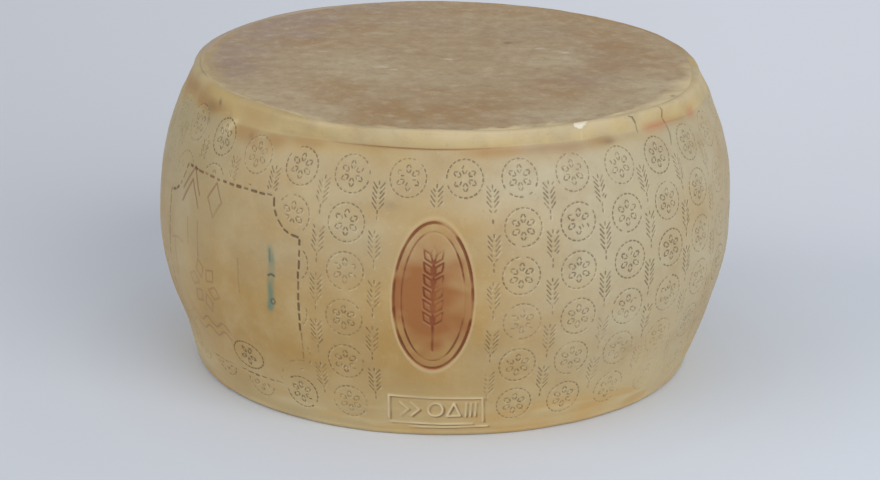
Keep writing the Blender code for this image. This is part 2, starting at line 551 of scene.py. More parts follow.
def side_outline():
    """The side's radius and height: rows run from under the face's edge, over the rim, to the base."""
    bearing = column_bearings()[None, :]
    lift = crease_lift(bearing)
    crest = crest_radius(bearing)
    level = HEIGHT - EDGE_DOWN_SHARE * wander_round(EDGE_WANDER, bearing)
    even = np.ones_like(bearing)
    rounding = RIM_CORNER + WORN_ROUNDING * worn_left(bearing)
    rounding += WORN_CORNER_ROUNDING * wander_round(CORNER_WORN, bearing)

    turn = 0.5 * math.pi * np.linspace(0.0, 1.0, TUCK_STEPS + 1)[:, None]
    tuck_depth = TUCK_DEPTH * (1.0 - merged(bearing))
    tuck = (crest - TUCK_WIDTH * np.cos(turn), level - tuck_depth * (1.0 - np.sin(turn)))

    turn = 0.5 * math.pi * shares(CORNER_STEPS)
    corner = (crest + rounding * np.sin(turn), level - rounding * (1.0 - np.cos(turn)))

    share = shares(RIM_STEPS)
    crease_low = CREASE_HEIGHT + lift - 0.5 * CREASE_WIDTH
    hold = crease_hold(bearing)
    crease_radius = side_radius(crease_low)
    crease_top = crease_radius - SOFT_CREASE_RUN * (1.0 - hold)
    rim = (
        corner[0][-1] + (crease_top - corner[0][-1]) * share + RIM_BULGE * hold * np.sin(math.pi * share),
        corner[1][-1] + (crease_low + CREASE_WIDTH - corner[1][-1]) * share,
    )

    share = shares(CREASE_STEPS)
    crease = (
        crease_top + (crease_radius - crease_top) * share
        - CREASE_DEPTH * (1.15 * hold - 0.15) * np.sin(math.pi * share) ** 2,
        crease_low + CREASE_WIDTH * (1.0 - share),
    )

    share = shares(SIDE_STEPS)
    start = CREASE_HEIGHT - 0.5 * CREASE_WIDTH
    height = start + (FOOT_ROUNDING - start) * share + lift * (1.0 - share) ** LIFT_FADE
    side = (side_radius(height), height)

    turn = 0.5 * math.pi * shares(FOOT_STEPS)
    foot = (
        FOOT_RADIUS - FOOT_ROUNDING * (1.0 - np.cos(turn)) * even,
        FOOT_ROUNDING * (1.0 - np.sin(turn)) * even,
    )

    toe = FOOT_RADIUS - FOOT_ROUNDING
    under = (toe + (UNDER_RADIUS - toe) * shares(UNDER_STEPS) * even, 0.0 * shares(UNDER_STEPS) * even)

    stretches = (tuck, corner, rim, crease, side, foot, under)
    radius, height = (np.concatenate([stretch[axis] for stretch in stretches]) for axis in range(2))
    radius = radius + WORN_FILL * worn_left(bearing) * bell((height - crease_low) / WORN_FILL_REACH)
    return radius + side_swells(bearing, height), height


RIM_ROW = TUCK_STEPS + CORNER_STEPS
CREASE_ROW = RIM_ROW + RIM_STEPS + CREASE_STEPS // 2
SIDE_ROW = RIM_ROW + RIM_STEPS + CREASE_STEPS
FOOT_ROW = SIDE_ROW + SIDE_STEPS


def side_depths(radius, height):
    """The way down the surface from the nominal crease to every point, counted back from the foot."""
    way = np.hypot(np.diff(radius, axis=0), np.diff(height, axis=0))
    way = np.concatenate([np.zeros_like(way[:1]), np.cumsum(way, axis=0)])
    whole = np.median(way[FOOT_ROW] - way[CREASE_ROW])
    return way - way[FOOT_ROW] + whole


def out_of_round(angle):
    return sum(
        share * np.cos(lobes * angle + math.radians(start)) for lobes, share, start in OUT_OF_ROUND
    )


def uneven(x, y, z):
    """Leans the wheel, slides its top and foot and takes it out of round, as the part's source does."""
    up = z / HEIGHT
    stretch = 1.0 + out_of_round(np.arctan2(y, x)) * np.sin(math.pi * up)
    slide = TOP_SHIFT * up + FOOT_SHIFT * (1.0 - up)
    lean = math.tan(math.radians(LEAN_DEGREES))
    return np.stack([x * stretch + slide, y * stretch, z - lean * x * up], axis=-1)


def raised(points, height, normal_sign=1.0):
    """A sheet of points moved along its own normals by a height at each point."""
    along = np.gradient(points, axis=1)
    down = np.gradient(points, axis=0)
    normal = normal_sign * np.cross(down, along)
    normal /= np.maximum(np.linalg.norm(normal, axis=-1, keepdims=True), 1e-9)
    return points + normal * height[..., None]


# ---- Soft unevenness and patches ----


def spline_weights(places, count, closed):
    """Cubic spline weights of count values at these places, counted in cells."""
    cell = np.floor(places).astype(int)
    share = places - cell
    pieces = (
        (1.0 - share) ** 3,
        3.0 * share**3 - 6.0 * share**2 + 4.0,
        -3.0 * share**3 + 3.0 * share**2 + 3.0 * share + 1.0,
        share**3,
    )
    weights = np.zeros((len(places), count))
    for step, piece in enumerate(pieces):
        held = (cell + step - 1) % count if closed else np.clip(cell + step - 1, 0, count - 1)
        np.add.at(weights, (np.arange(len(places)), held), piece / 6.0)
    return weights


def drift(shape, cells, seed, closed=False):
    """Soft seeded noise, about -1 to 1, over a sheet: cells down and across, closed round if asked."""
    values = np.random.default_rng(seed).standard_normal(cells)
    down = spline_weights(np.linspace(0.0, cells[0] - 1.0, shape[0]), cells[0], False)
    if closed:
        places = np.arange(shape[1]) * cells[1] / shape[1]
    else:
        places = np.linspace(0.0, cells[1] - 1.0, shape[1])
    across = spline_weights(places, cells[1], closed)
    return 1.6 * down @ values @ across.T


def blurred(layer, columns, rows):
    """A layer softened over this many columns and rows; the sheet is closed round."""
    for axis, size in ((1, columns), (0, rows)):
        reach = int(3 * size)
        weights = np.exp(-0.5 * (np.arange(-reach, reach + 1) / size) ** 2)
        weights /= weights.sum()
        mode = "wrap" if axis == 1 else "edge"
        pad = [(0, 0), (0, 0)]
        pad[axis] = (reach, reach)
        padded = np.pad(layer, pad, mode=mode)
        count = layer.shape[axis]
        layer = sum(
            weight * np.take(padded, np.arange(step, step + count), axis=axis)
            for step, weight in enumerate(weights)
        )
    return layer


# ---- Strokes of the patterns, in millimetres across and down ----


def ring(half_width, half_height, sides=40, start=0.0, turn=360.0):
    """Points round an oval, or along an arc of it, from the right and turning down."""
    angles = np.radians(start + turn * np.arange(sides + 1) / sides)
    return [(half_width * math.cos(angle), half_height * math.sin(angle)) for angle in angles]


def solid(points):
    """One stroke between each two points."""
    return list(zip(points, points[1:]))


def dashed(points, dash=DASH, gap=DASH_GAP):
    """Even dashes along a line of points."""
    line = np.array(points)
    way = np.concatenate([[0.0], np.cumsum(np.hypot(*np.diff(line, axis=0).T))])
    count = max(1, round(way[-1] / (dash + gap)))
    step = way[-1] / count
    dashes = []
    for number in range(count):
        ends = number * step + 0.5 * (step - dash) + np.array([0.0, dash])
        xs = np.interp(ends, way, line[:, 0])
        ys = np.interp(ends, way, line[:, 1])
        dashes.append(((xs[0], ys[0]), (xs[1], ys[1])))
    return dashes


def moved(strokes, across, down):
    return [tuple((x + across, y + down) for x, y in stroke) for stroke in strokes]


def turned(points, degrees):
    turn = math.radians(degrees)
    return [
        (x * math.cos(turn) - y * math.sin(turn), x * math.sin(turn) + y * math.cos(turn))
        for x, y in points
    ]


def leaf(inner, outer, half_width):
    """A leaf shape to the right of the middle."""
    middle = 0.5 * (inner + outer)
    return [(inner, 0.0), (middle, half_width), (outer, 0.0), (middle, -half_width), (inner, 0.0)]


def rosette(inner, outer, half_width, petals, start=0.0):
    """Leaf shapes set round a middle."""
    lines = []
    for number in range(petals):
        lines.append(turned(leaf(inner, outer, half_width), start + 360.0 * number / petals))
    return lines


def ear(half_height, grain_length, pairs, spread):
    """An ear of grain: lines for the stem, the slanting grains and the tip."""
    lines = [[(0.0, half_height), (0.0, 0.42 * half_height)]]
    step = 1.25 * half_height / pairs
    for number in range(pairs):
        foot = 0.42 * half_height - step * number
        for side in (-1.0, 1.0):
            lines.append([(0.9 * side, foot), (spread * side, foot - grain_length)])
    lines.append([(0.0, -0.72 * half_height), (0.0, -half_height)])
    return lines


# ---- Marks on the side ----


class Side:
    """The side's smooth sheet with the layers of marks that lie on it."""

    def __init__(self):
        self.radius, self.height = side_outline()
        self.depth = side_depths(self.radius, self.height)
        self.below = self.depth - self.depth[CREASE_ROW]
        self.bearing = column_bearings()[None, :] + 0.0 * self.depth
        self.rows = np.arange(self.depth.shape[0])[:, None]
        self.column_mm = 2.0 * math.pi * BELLY_RADIUS / COLUMNS
        self.first_mm = round_mm(FIRST_BORDER)
        self.row_low = np.maximum.accumulate(self.depth.min(axis=1))
        self.row_high = np.maximum.accumulate(self.depth.max(axis=1))

    def layer(self):
        return np.zeros_like(self.depth)

    def noise(self, name):
        around, down, seed = SIDE_NOISES[name]
        return drift(self.depth.shape, (down, around), SEED + seed, closed=True)

    def kept(self, name, worn=0.0):
        """How well a mark has kept, by its own noise and by how far it is worn."""
        level, swing, least = MARK_KEPT[name]
        return np.clip(level + swing * self.noise(name) - worn, least, 1.0)

    def deeper(self, start, run):
        """A soft step from 0 to 1 that starts at a depth and takes this many millimetres."""
        return ease((self.depth - start) / run)

    def patches(self, places):
        """Soft round patches, summed: the bearing, depth, half width, half height and strength of each."""
        layer = self.layer()
        for bearing, depth, half_width, half_height, strength in places:
            across = np.radians(from_bearing(self.bearing, bearing)) * BELLY_RADIUS
            layer += strength * bell(np.hypot(across / half_width, (self.depth - depth) / half_height))
        return layer

    def bands(self, places, soft=1.6):
        """Ragged bands under the crease: first and last bearing, start, height and strength of each."""
        layer = self.layer()
        edge = BAND_RAGGED * (self.noise("band edge") + 0.6 * self.noise("band grain"))
        for first, last, start, height, strength in places:
            half = 0.5 * (last - first)
            inside = 1.0 - np.abs(from_bearing(self.bearing, first + half)) / half
            along = ease(1.4 * inside + 0.6 * edge)
            top = ease((self.below - start) / soft + 0.5 + 0.5 * edge)
            low = ease((start + height - self.below) / (0.5 * height) + edge)
            layer = np.maximum(layer, strength * along * top * low)
        return blurred(layer, 5.0, 3.5)

    def pressed(self, lines):
        """A layer with lines pressed in: the points, bearing, depth, half width and strength of each."""
        layer = self.layer()
        for points, bearing, depth, half_width, strength in lines:
            self.press(layer, moved(solid(points), round_mm(bearing), depth), half_width, strength)
        return layer

    def press(self, layer, strokes, half_width, strength=1.0):
        """Presses strokes with round ends into a layer; strength is one number, or one for each."""
        strengths = np.broadcast_to(strength, len(strokes))
        reach = half_width + 0.5 * SOFT_EDGE
        for ((x0, y0), (x1, y1)), pressed in zip(strokes, strengths):
            low = int((min(x0, x1) - reach - self.first_mm) // self.column_mm)
            high = int((max(x0, x1) + reach - self.first_mm) // self.column_mm) + 2
            columns = np.arange(low, high)
            top = np.searchsorted(self.row_high, min(y0, y1) - reach)
            bottom = np.searchsorted(self.row_low, max(y0, y1) + reach)
            if bottom <= top:
                continue
            window = np.ix_(np.arange(top, bottom), columns % COLUMNS)
            across = (self.first_mm + columns * self.column_mm)[None, :] - x0
            down = self.depth[window] - y0
            run, fall = x1 - x0, y1 - y0
            along = unit((across * run + down * fall) / max(run * run + fall * fall, 1e-9))
            away = np.hypot(across - along * run, down - along * fall)
            mask = unit((half_width - away) / SOFT_EDGE + 0.5) * pressed
            layer[window] = np.maximum(layer[window], mask)


def inside_plaque(x, y, grow=0.0):
    """Whether a place lies in the plaque, a rectangle whose corners are scooped out."""
    x = abs(x - round_mm(PLAQUE_BEARING)) - PLAQUE_HALF_WIDTH - grow
    y = abs(y - PLAQUE_DEPTH) - PLAQUE_HALF_HEIGHT - grow
    return max(x, y) <= 0.0 and math.hypot(x, y) > PLAQUE_SCOOP - grow


def plaque_outline():
    """The plaque's outline: straight sides and corners scooped out in arcs."""
    points = []
    for side, end, start in ((1, -1, 180.0), (1, 1, 270.0), (-1, 1, 0.0), (-1, -1, 90.0)):
        for x, y in ring(PLAQUE_SCOOP, PLAQUE_SCOOP, 10, start, -90.0):
            points.append((side * PLAQUE_HALF_WIDTH + x, end * PLAQUE_HALF_HEIGHT + y))
    return points + points[:1]


def kept_bare(x, y):
    """Whether the net leaves this place bare for the burnt mark, the plate or the plaque."""
    first, last, start = BARE_BY_MARK
    by_mark = first < math.degrees(x / BELLY_RADIUS) < last and y > start
    return by_mark or inside_plaque(x, y, grow=3.0)


def net_motifs():
    """The net's motifs in staggered rows: dotted rings round rosettes, and ears between them."""
    ring_lines = [ring(RING_RADIUS, RING_RADIUS)] + rosette(2.6, 9.4, 2.1, 6, 30.0)
    ear_lines = ear(13.6, 4.3, 5, 4.3)
    motifs = []
    for number in range(NET_COLUMNS):
        bearing = from_bearing(RING_BEARING + NET_STEP_DEGREES * number, 0.0)
        for row in range(NET_ROWS):
            motifs.append((bearing, NET_TOP + NET_ROW_STEP * row, ring_lines))
        bearing = from_bearing(bearing + 0.5 * NET_STEP_DEGREES, 0.0)
        for row in range(NET_ROWS - 1):
            motifs.append((bearing, NET_TOP + NET_ROW_STEP * (row + 0.5), ear_lines))
    return motifs


def net_strokes():
    """The dashes of the net and how firmly each is pressed."""
    rng = np.random.default_rng(SEED)
    strokes, firmness = [], []
    for bearing, depth, lines in net_motifs():
        past = (SEAM_BEARING - bearing) % 360.0 / 360.0
        down = depth + NET_SPIRAL * (1.0 - past) + rng.normal(0.0, NET_SLIP_DOWN)
        across = round_mm(bearing) + rng.normal(0.0, NET_SLIP_ACROSS)
        pressed = rng.uniform(*MOTIF_FIRMNESS)
        lean = rng.normal(0.0, NET_LEAN)
        for line in lines:
            for stroke in moved(dashed(turned(line, lean)), across, down):
                x, y = (0.5 * (first + last) for first, last in zip(*stroke))
                luck = rng.uniform()
                if luck < MISSED_CHANCE or kept_bare(x, y) or y > NET_END:
                    continue
                strokes.append(stroke)
                firmness.append(pressed * rng.uniform(*DASH_FIRMNESS))
    return strokes, firmness


def mark_net(side):
    """The pressed dots of the net, and pale specks beside some of them: a painted highlight on the dots'
    lit side, also raised a little.
    """
    strokes, firmness = net_strokes()
    imprint, highlight_speck = side.layer(), side.layer()
    side.press(imprint, strokes, DASH_HALF_WIDTH, firmness)
    luck = np.random.default_rng(SEED + 21).uniform(size=len(strokes))
    # Painted highlights beside some dots, offset to their lit side
    highlighted = [stroke for stroke, chance in zip(strokes, luck) if chance < HIGHLIGHT_SPECK_CHANCE]
    side.press(highlight_speck, moved(highlighted, *HIGHLIGHT_SPECK_SHIFT), HIGHLIGHT_SPECK_HALF_WIDTH)
    hold = side.kept("net", worn=side.patches(NET_FAINT) - 0.08 * side.noise("grain"))
    return {"imprint": imprint * hold, "highlight_speck": highlight_speck * hold}


def plaque_lines():
    """The faint lines in the plaque: chevrons, a diamond, upright strokes, a rosette and waves."""
    chevron = [(-12.0, 8.0), (0.5, -10.0), (12.0, 7.0)]
    lines = [(chevron, -59.5, drop, 0.85, 1.0) for drop in (52.0, 61.0)]
    lines.append((ring(8.0, 12.0, 4), -50.8, 58.0, 0.8, 1.0))
    for bearing, depth, height in ((-60, 88, 9.0), (-56, 90, 12.0), (-43, 104, 12.0), (-66, 112, 14.0)):
        lines.append(([(0.0, -height), (1.6, height)], bearing, depth, 0.75, 0.8))
    lines.append(([(-16.0, 0.0), (-6.0, -2.5), (4.0, -1.5)], -63.0, 100.0, 0.75, 0.8))
    lines += [(line, -54.0, 122.0, 0.7, 0.7) for line in rosette(6.0, 19.0, 5.0, 6, 12.0)]
    wave = [(x, 2.6 * math.sin(0.32 * x)) for x in np.linspace(-34.0, 22.0, 46)]
    return lines + [(wave, -54.0, drop, 0.7, 0.8) for drop in (150.0, 157.0)]


def mark_plaque(side):
    """The plaque's thick dashed outline, worn away at its foot, and faint strokes inside."""
    outline, small = side.layer(), side.layer()
    edge = moved(dashed(plaque_outline(), *PLAQUE_DASHES), round_mm(PLAQUE_BEARING), PLAQUE_DEPTH)
    rng = np.random.default_rng(SEED + 20)
    for ends in edge:
        start, end = (np.array(place) for place in ends)
        middle = 0.5 * (start + end) + rng.normal(0.0, PLAQUE_SLIP, 2)
        half = 0.5 * (end - start) * rng.uniform(*PLAQUE_STRETCH)
        width, firmness = rng.uniform(*PLAQUE_WIDTHS), rng.uniform(*PLAQUE_FIRMNESS)
        side.press(outline, [(middle - half, middle + half)], width, firmness)
    outline *= side.kept("outline", worn=0.75 * side.patches(OUTLINE_WORN))
    faint = side.pressed(plaque_lines()) * side.kept("faint")
    for line in [ring(15.5, 10.5)] + rosette(1.8, 8.4, 1.6, 5, 18.0):
        side.press(small, moved(dashed(line), round_mm(-43.5), 166.0), 0.55, 0.85)
    reddish = unit(side.patches(OUTLINE_REDDISH)) * outline
    return {"outline": outline, "faint": faint, "small": small, "reddish": reddish}


def burn_lines():
    """The lines of the burnt mark: a double oval round an ear of grain with a stem and a tip."""
    shapes = [
        (ring(MARK_HALF_WIDTH, MARK_HALF_HEIGHT, 72), 0.0, 0.9, 1.0),
        (ring(MARK_HALF_WIDTH - MARK_INSET[0], MARK_HALF_HEIGHT - MARK_INSET[1], 60), 0.0, 0.65, 0.8),
        ([(0.0, 38.0), (0.0, -24.0)], 0.0, 0.8, 1.0),
        (turned(leaf(1.0, 12.0, 2.4), -90.0), -24.0, 0.62, 0.9),
    ]
    for number in range(GRAINS):
        for turn in GRAIN_TURNS:
            foot = GRAIN_START - GRAIN_STEP * number
            shapes.append((turned(leaf(1.6, 12.4, 2.5), turn), foot, 0.62, 0.9))
    return [(points, MARK_BEARING, MARK_DEPTH + down, *pressed) for points, down, *pressed in shapes]


def mark_burn(side):
    """The burnt mark, browned and slightly sunk."""
    worn = side.patches(BURN_WORN) - 0.16 * side.noise("burn grain")
    across = np.radians(from_bearing(side.bearing, MARK_BEARING)) * BELLY_RADIUS
    down = side.depth - MARK_DEPTH
    within = np.hypot(across / MARK_HALF_WIDTH, down / MARK_HALF_HEIGHT)
    spread = down + SCORCH_WANDER * side.noise("scorch edge")
    scorch = side.patches(SCORCHED) + 0.16 + 0.14 * side.noise("scorch") + 0.10 * side.noise("grain")
    for start, run, more in SCORCH_STEPS:
        scorch += more * ease((spread - start) / run)
    return {
        "burn_line": side.pressed(burn_lines()) * side.kept("burn", worn),
        "burn_tint": unit(ease((1.05 - within) / 0.05) * scorch),
        "burn_glow": 0.6 * ease((1.30 - within) / 0.34),
        "burn_lip": bell((within - 1.055) / 0.03) * (0.6 + 0.4 * ease(down / 20.0)),
    }


def plate_lines():
    """The plate's frame, a ring, a triangle, two chevrons and three upright strokes."""
    half, high = PLATE_HALF_WIDTH, PLATE_HALF_HEIGHT
    lines = [
        [(-half, -high), (half, -high + 1.5)],
        [(-half - 1.0, high - 2.0), (-half, -high)],
        [(half, -high + 1.5), (half + 2.0, high)],
        [(-half, high + 1.5), (half - 6.0, high + 2.0)],
        [(-half + 14.0, high + 5.0), (half + 6.0, high + 4.5)],
        ring(5.4, 5.6, 20),
        [(8.5, 5.6), (13.5, -5.6), (18.5, 5.6), (8.5, 5.6)],
    ]
    lines += [[(x, -5.6), (x + 6.0, 0.2), (x, 6.0)] for x in (-26.0, -18.0)]
    return lines + [[(x, -5.4), (x, 5.8)] for x in (22.5, 26.0, 29.5)]


def mark_plate(side):
    """The small plate at the foot: its raised lines are pale, partly a painted highlight, each beside its
    own groove, darkened by painted shadow.
    """
    lines = plate_lines()
    ridge_highlight = side.pressed((line, PLATE_BEARING, PLATE_DEPTH, 0.75, 1.0) for line in lines)
    lowered = moved(lines, *GROOVE_SHADOW_SHIFT)
    groove_shadow = side.pressed((line, PLATE_BEARING, PLATE_DEPTH, 0.8, 1.0) for line in lowered)
    kept = side.kept("plate")
    return {"plate": ridge_highlight * kept, "plate_groove_shadow": groove_shadow * (1.0 - ridge_highlight) * kept}


def mark_rim(side):
    """The rim with a painted highlight on its crest, the crease's thin brown line, the stains that gather
    under it, and pale streaks low down with a painted highlight on the seam's fold and painted light on the
    flanks.
    """
    rows, bearing = side.rows, side.bearing
    broad = side.noise("broad")
    ahead = from_bearing(bearing, FRONT_BEARING)
    crease = bell((rows - CREASE_ROW) / CREASE_LINE_ROWS)
    # The crest's pale colour is a painted highlight, strongest in front
    crest_highlight = 0.05 + 0.2 * broad + 0.22 * side.noise("crest")
    crest_highlight += stretches_round(bearing, CREST_HIGHLIGHT)
    highlight_rows = CREST_HIGHLIGHT_ROWS + CREST_HIGHLIGHT_ROWS_MORE * near(bearing, *CREST_HIGHLIGHT_WIDER)
    behind = ease((np.abs(ahead) - BACK_START) / BACK_FADE) * ease((RIM_ROW + 9.0 - rows) / 8.0)
    yellow = 0.70 - 0.35 * near(bearing, 10.0, 40.0) + 0.2 * broad + 0.22 * side.noise("yellow")
    # Painted highlight along the raised fold at the seam of the moulding band
    seam = near(bearing, SEAM_BEARING + 1.4 - 0.2 * side.below, 1.2)
    seam *= ease((18.0 - side.below) / 9.0) * ease(side.below / 5.0 + 1.0)
    streaks = 0.42 * unit(side.noise("streaks") - 0.15) * side.deeper(174.0, 22.0)
    return {
        "crease": crease * unit(1.25 * crease_hold(bearing) - 0.15 + 0.15 * broad),
        "brown": side.bands(BROWN_BANDS),
        "dull": side.bands(DULL_BANDS),
        "red": side.bands(RED_BANDS),
        "glow": side.bands(GLOW_BANDS, soft=3.0),
        "rim": ease((CREASE_ROW + 2.0 - rows) / 6.0) * unit(yellow),
        # Painted highlight along the rim's crest
        "crest": unit(crest_highlight) * bell((rows - TUCK_STEPS - 3.0) / highlight_rows),
        "rusty": behind * (ahead > 0.0) * side.kept("rust"),
        "taupe": behind * (ahead <= 0.0),
        # Pale: streaks low down, the painted highlight on the seam's fold and painted light on the flanks
        "pale": np.maximum(np.maximum(seam, streaks), side.patches(SIDE_PAINTED_LIGHT)),
    }


def mark_stains(side):
    """Ink, dark spots, thin cracks and the chip in the rim's edge."""
    brushed = [(-0.8, -20.0), (0.6, -11.0), (0.2, 2.0), (1.0, 13.0), (-0.6, 22.0)]
    ink = blurred(side.pressed([(brushed, INK_BEARING, 98.5, 2.6, 1.0)]), 1.2, 1.6)
    blot = (
        ([(-1.8, 0.6), (0.6, -0.6), (3.2, 0.2)], INK_BEARING, 96.5, 0.75, 1.0),
        (ring(1.7, 1.9, 12), INK_BEARING + 0.6, 115.0, 0.6, 0.8),
        ([(-0.3, -5.0), (0.3, 3.0)], INK_BEARING - 0.3, 84.0, 0.7, 0.5),
    )
    cracks = []
    for places in CRACKS:
        points = [(round_mm(bearing), depth) for bearing, depth in places]
        cracks += [(points, 0.0, 0.0, 0.5, 1.0), (points[1:3], 0.0, 0.0, 0.8, 1.0)]
    chip = [([(0.0, 0.0), (0.2, 5.0)], CHIP_BEARING, -8.0, 0.5, 0.2)]
    for across, down, size in ((-3.4, 0.0, 2.2), (-0.6, 0.6, 2.7), (2.8, -0.8, 2.0), (5.2, -1.6, 1.3)):
        chip.append(([(across, down), (across + 0.8, down)], CHIP_BEARING, -13.2, size, 1.0))
    return {
        "ink": unit(ink * side.kept("ink")),
        "blot": side.pressed(blot),
        "spot": unit(side.patches(SIDE_SPOTS)),
        "crack": side.pressed(cracks) * side.kept("crack"),
        "chip": side.pressed(chip),
    }


def mark_warmth(side):
    """How warm the rind is: most to the left, low down and round the burnt mark, and the painted light low
    on the side, which makes it paler and less warm there.
    """
    ahead = from_bearing(side.bearing, 0.0)
    left = np.where(np.abs(ahead) > 110.0, 0.5, ease((20.0 - ahead) / 70.0))
    warmth = 0.12 + 0.42 * left + 0.34 * side.deeper(60.0, 130.0) + side.patches(WARM_PATCHES)
    warmth += 0.10 * side.noise("broad") + 0.06 * side.noise("warmth")
    grime = unit(side.noise("grime")) * ease((7.0 - side.below) / 8.0)
    olive = side.patches(OLIVE_PATCHES) * (0.35 + 0.65 * ease((side.below + 6.0) / 10.0)) + 0.5 * grime
    # Painted light: the lower side is made paler and less warm, for light thrown up from the floor
    low = side.deeper(150.0, 48.0) * (1.0 - side.patches(UNLIT_LOW_PATCHES))
    amber = side.patches(AMBER_PATCHES) * side.kept("amber")
    smears = 0.8 * unit(side.noise("smears") - 0.12) * side.deeper(168.0, 26.0)
    return {
        "warmth": unit(warmth) * (1.0 - 0.35 * low),
        "olive": unit(olive * (0.85 + 0.3 * side.noise("olive"))),
        "low": low,
        "amber": np.maximum(amber, smears),
        "foot": side.deeper(208.0, 5.0) * ease((side.height + 1.0) / 1.5),
    }


def side_marks(side):
    """Every layer of marks on the side, by name, each from 0 to 1."""
    marks = {}
    for maker in (mark_net, mark_plaque, mark_burn, mark_plate, mark_rim, mark_stains, mark_warmth):
        marks.update(maker(side))
    marks["imprint"] = np.maximum(marks["imprint"], marks.pop("small"))
    return marks


def side_relief(side, marks):
    """The height of every point above the smooth side."""
    relief = sum(height * side.noise(name) for name, height in SIDE_WAVES)
    lip = unit(2.0 * blurred(marks["imprint"], 2.0, 2.0))
    relief += IMPRINT_LIP * lip - (IMPRINT_DEPTH + IMPRINT_LIP) * marks["imprint"]
    for mark, height in MARK_HEIGHTS:
        relief += height * marks[mark]
    for mark, height, softness in SOFT_HEIGHTS:
        relief += height * blurred(marks[mark], softness, softness)
    return relief * ease(side.rows / 8.0) * ease((len(side.rows) - 1 - side.rows) / 8.0)


# ---- Pieces ----


def put_in_scene(name, data):
    """An object with this data, linked into the scene."""
    thing = bpy.data.objects.new(name, data)
    bpy.context.scene.collection.objects.link(thing)
    return thing


def closed_piece(name, points, marks, apex, material):
    """One closed piece from a sheet of points in metres: its border is drawn in to a hidden apex."""
    rows, columns = points.shape[:2]
    sheet = bmesh.new()
    bmesh.ops.create_grid(sheet, x_segments=columns - 1, y_segments=rows - 1, size=0.5)
    mesh = bpy.data.meshes.new(name)
    sheet.to_mesh(mesh)
    mesh.vertices.foreach_set("co", points.astype(np.float32).ravel())
    for mark, strength in marks.items():
        layer = mesh.attributes.new(mark, "FLOAT", "POINT")
        layer.data.foreach_set("value", strength.astype(np.float32).ravel())
    corners = np.empty(len(mesh.loops), np.int32)
    mesh.loops.foreach_get("vertex_index", corners)
    places = np.stack([corners % columns / (columns - 1), corners // columns / (rows - 1)], axis=-1)
    places = MAP_MARGIN + places * MAP_SHARE
    bake_map = mesh.uv_layers.new(name=BAKE_MAP)
    bake_map.data.foreach_set("uv", places.astype(np.float32).ravel())

    sheet.clear()
    sheet.from_mesh(mesh)
    for face in sheet.faces:
        face.smooth = True
    border = [edge for edge in sheet.edges if edge.is_boundary]
    for edge in border:
        edge.smooth = False
    drawn = bmesh.ops.extrude_edge_only(sheet, edges=border)["geom"]
    inner = [part for part in drawn if isinstance(part, bmesh.types.BMVert)]
    bmesh.ops.pointmerge(sheet, verts=inner, merge_co=Vector(apex))
    closing = [face for face in sheet.faces if len(face.verts) == 3]
    bake_layer = sheet.loops.layers.uv[BAKE_MAP]
    for number, face in enumerate(closing):
        face.smooth = False
        for step, (corner, across) in enumerate(zip(face.loops, HIDDEN_STRIP)):
            corner[bake_layer].uv = (across, (number + 0.5 * step) / len(closing))
    bmesh.ops.recalc_face_normals(sheet, faces=sheet.faces)
    sheet.to_mesh(mesh)
    sheet.free()

    mesh.materials.append(material)
    piece = put_in_scene(name, mesh)
    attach(piece, BODY)
    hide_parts(NODE)
    return piece


def frame_shift(points):
    """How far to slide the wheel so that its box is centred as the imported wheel's is."""
    cad_low, cad_high = (np.array(corner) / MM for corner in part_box(NODE))
    shift = 0.5 * (cad_low + cad_high - points.min(axis=(0, 1)) - points.max(axis=(0, 1)))
    shift[2] = 0.0
    return shift


def make_side(material):
    """The eight panels of the side. Returns the shift that centres the wheel on the frame."""
    side = Side()
    marks = side_marks(side)
    turn = np.radians(side.bearing)
    smooth = uneven(side.radius * np.sin(turn), -side.radius * np.cos(turn), side.height)
    shift = frame_shift(smooth)
    # One column more on either side, so that the normals run on round the wheel
    around = np.arange(-1, COLUMNS + 1)
    relief = side_relief(side, marks)
    wrapped = (np.take(sheet, around, axis=1, mode="wrap") for sheet in (smooth, relief))
    points = raised(*wrapped)[:, 1:-1] + shift
    points[..., 2] = np.maximum(points[..., 2], 0.0)
    for number in range(PANELS):
        columns = np.arange(PANEL_COLUMNS + 1) + number * PANEL_COLUMNS
        panel = np.take(points, columns, axis=1, mode="wrap") * MM
        layers = {mark: np.take(layer, columns, axis=1, mode="wrap") for mark, layer in marks.items()}
        closed_piece(f"side_panel_{number + 1}", panel, layers, PANEL_APEX, material)
    return shift


def disc_sheet(steps):
    """A square sheet laid over a round disc: places across and down, each from -1 to 1."""
    line = np.linspace(-1.0, 1.0, 2 * steps + 1)
    across, down = np.meshgrid(line, line)
    return across * np.sqrt(1.0 - 0.5 * down**2), down * np.sqrt(1.0 - 0.5 * across**2)


def make_quarters(name, points, marks, steps, apex, material):
    """Cuts a disc's sheet into four closed quarters."""
    for number in range(4):
        first_row, first_column = steps * (number // 2), steps * (number % 2)
        rows = slice(first_row, first_row + steps + 1)
        columns = slice(first_column, first_column + steps + 1)
        layers = {mark: layer[rows, columns] for mark, layer in marks.items()}
        closed_piece(f"{name}_{number + 1}", points[rows, columns] * MM, layers, apex, material)


def patches(x, y, places):
    """Soft patches laid over each other: the middle, the half sizes and the strength of each."""
    layer = np.zeros_like(x)
    for middle_x, middle_y, half_x, half_y, strength in places:
        patch = bell(np.hypot((x - middle_x) / half_x, (y - middle_y) / half_y))
        layer = np.maximum(layer, strength * patch)
    return layer


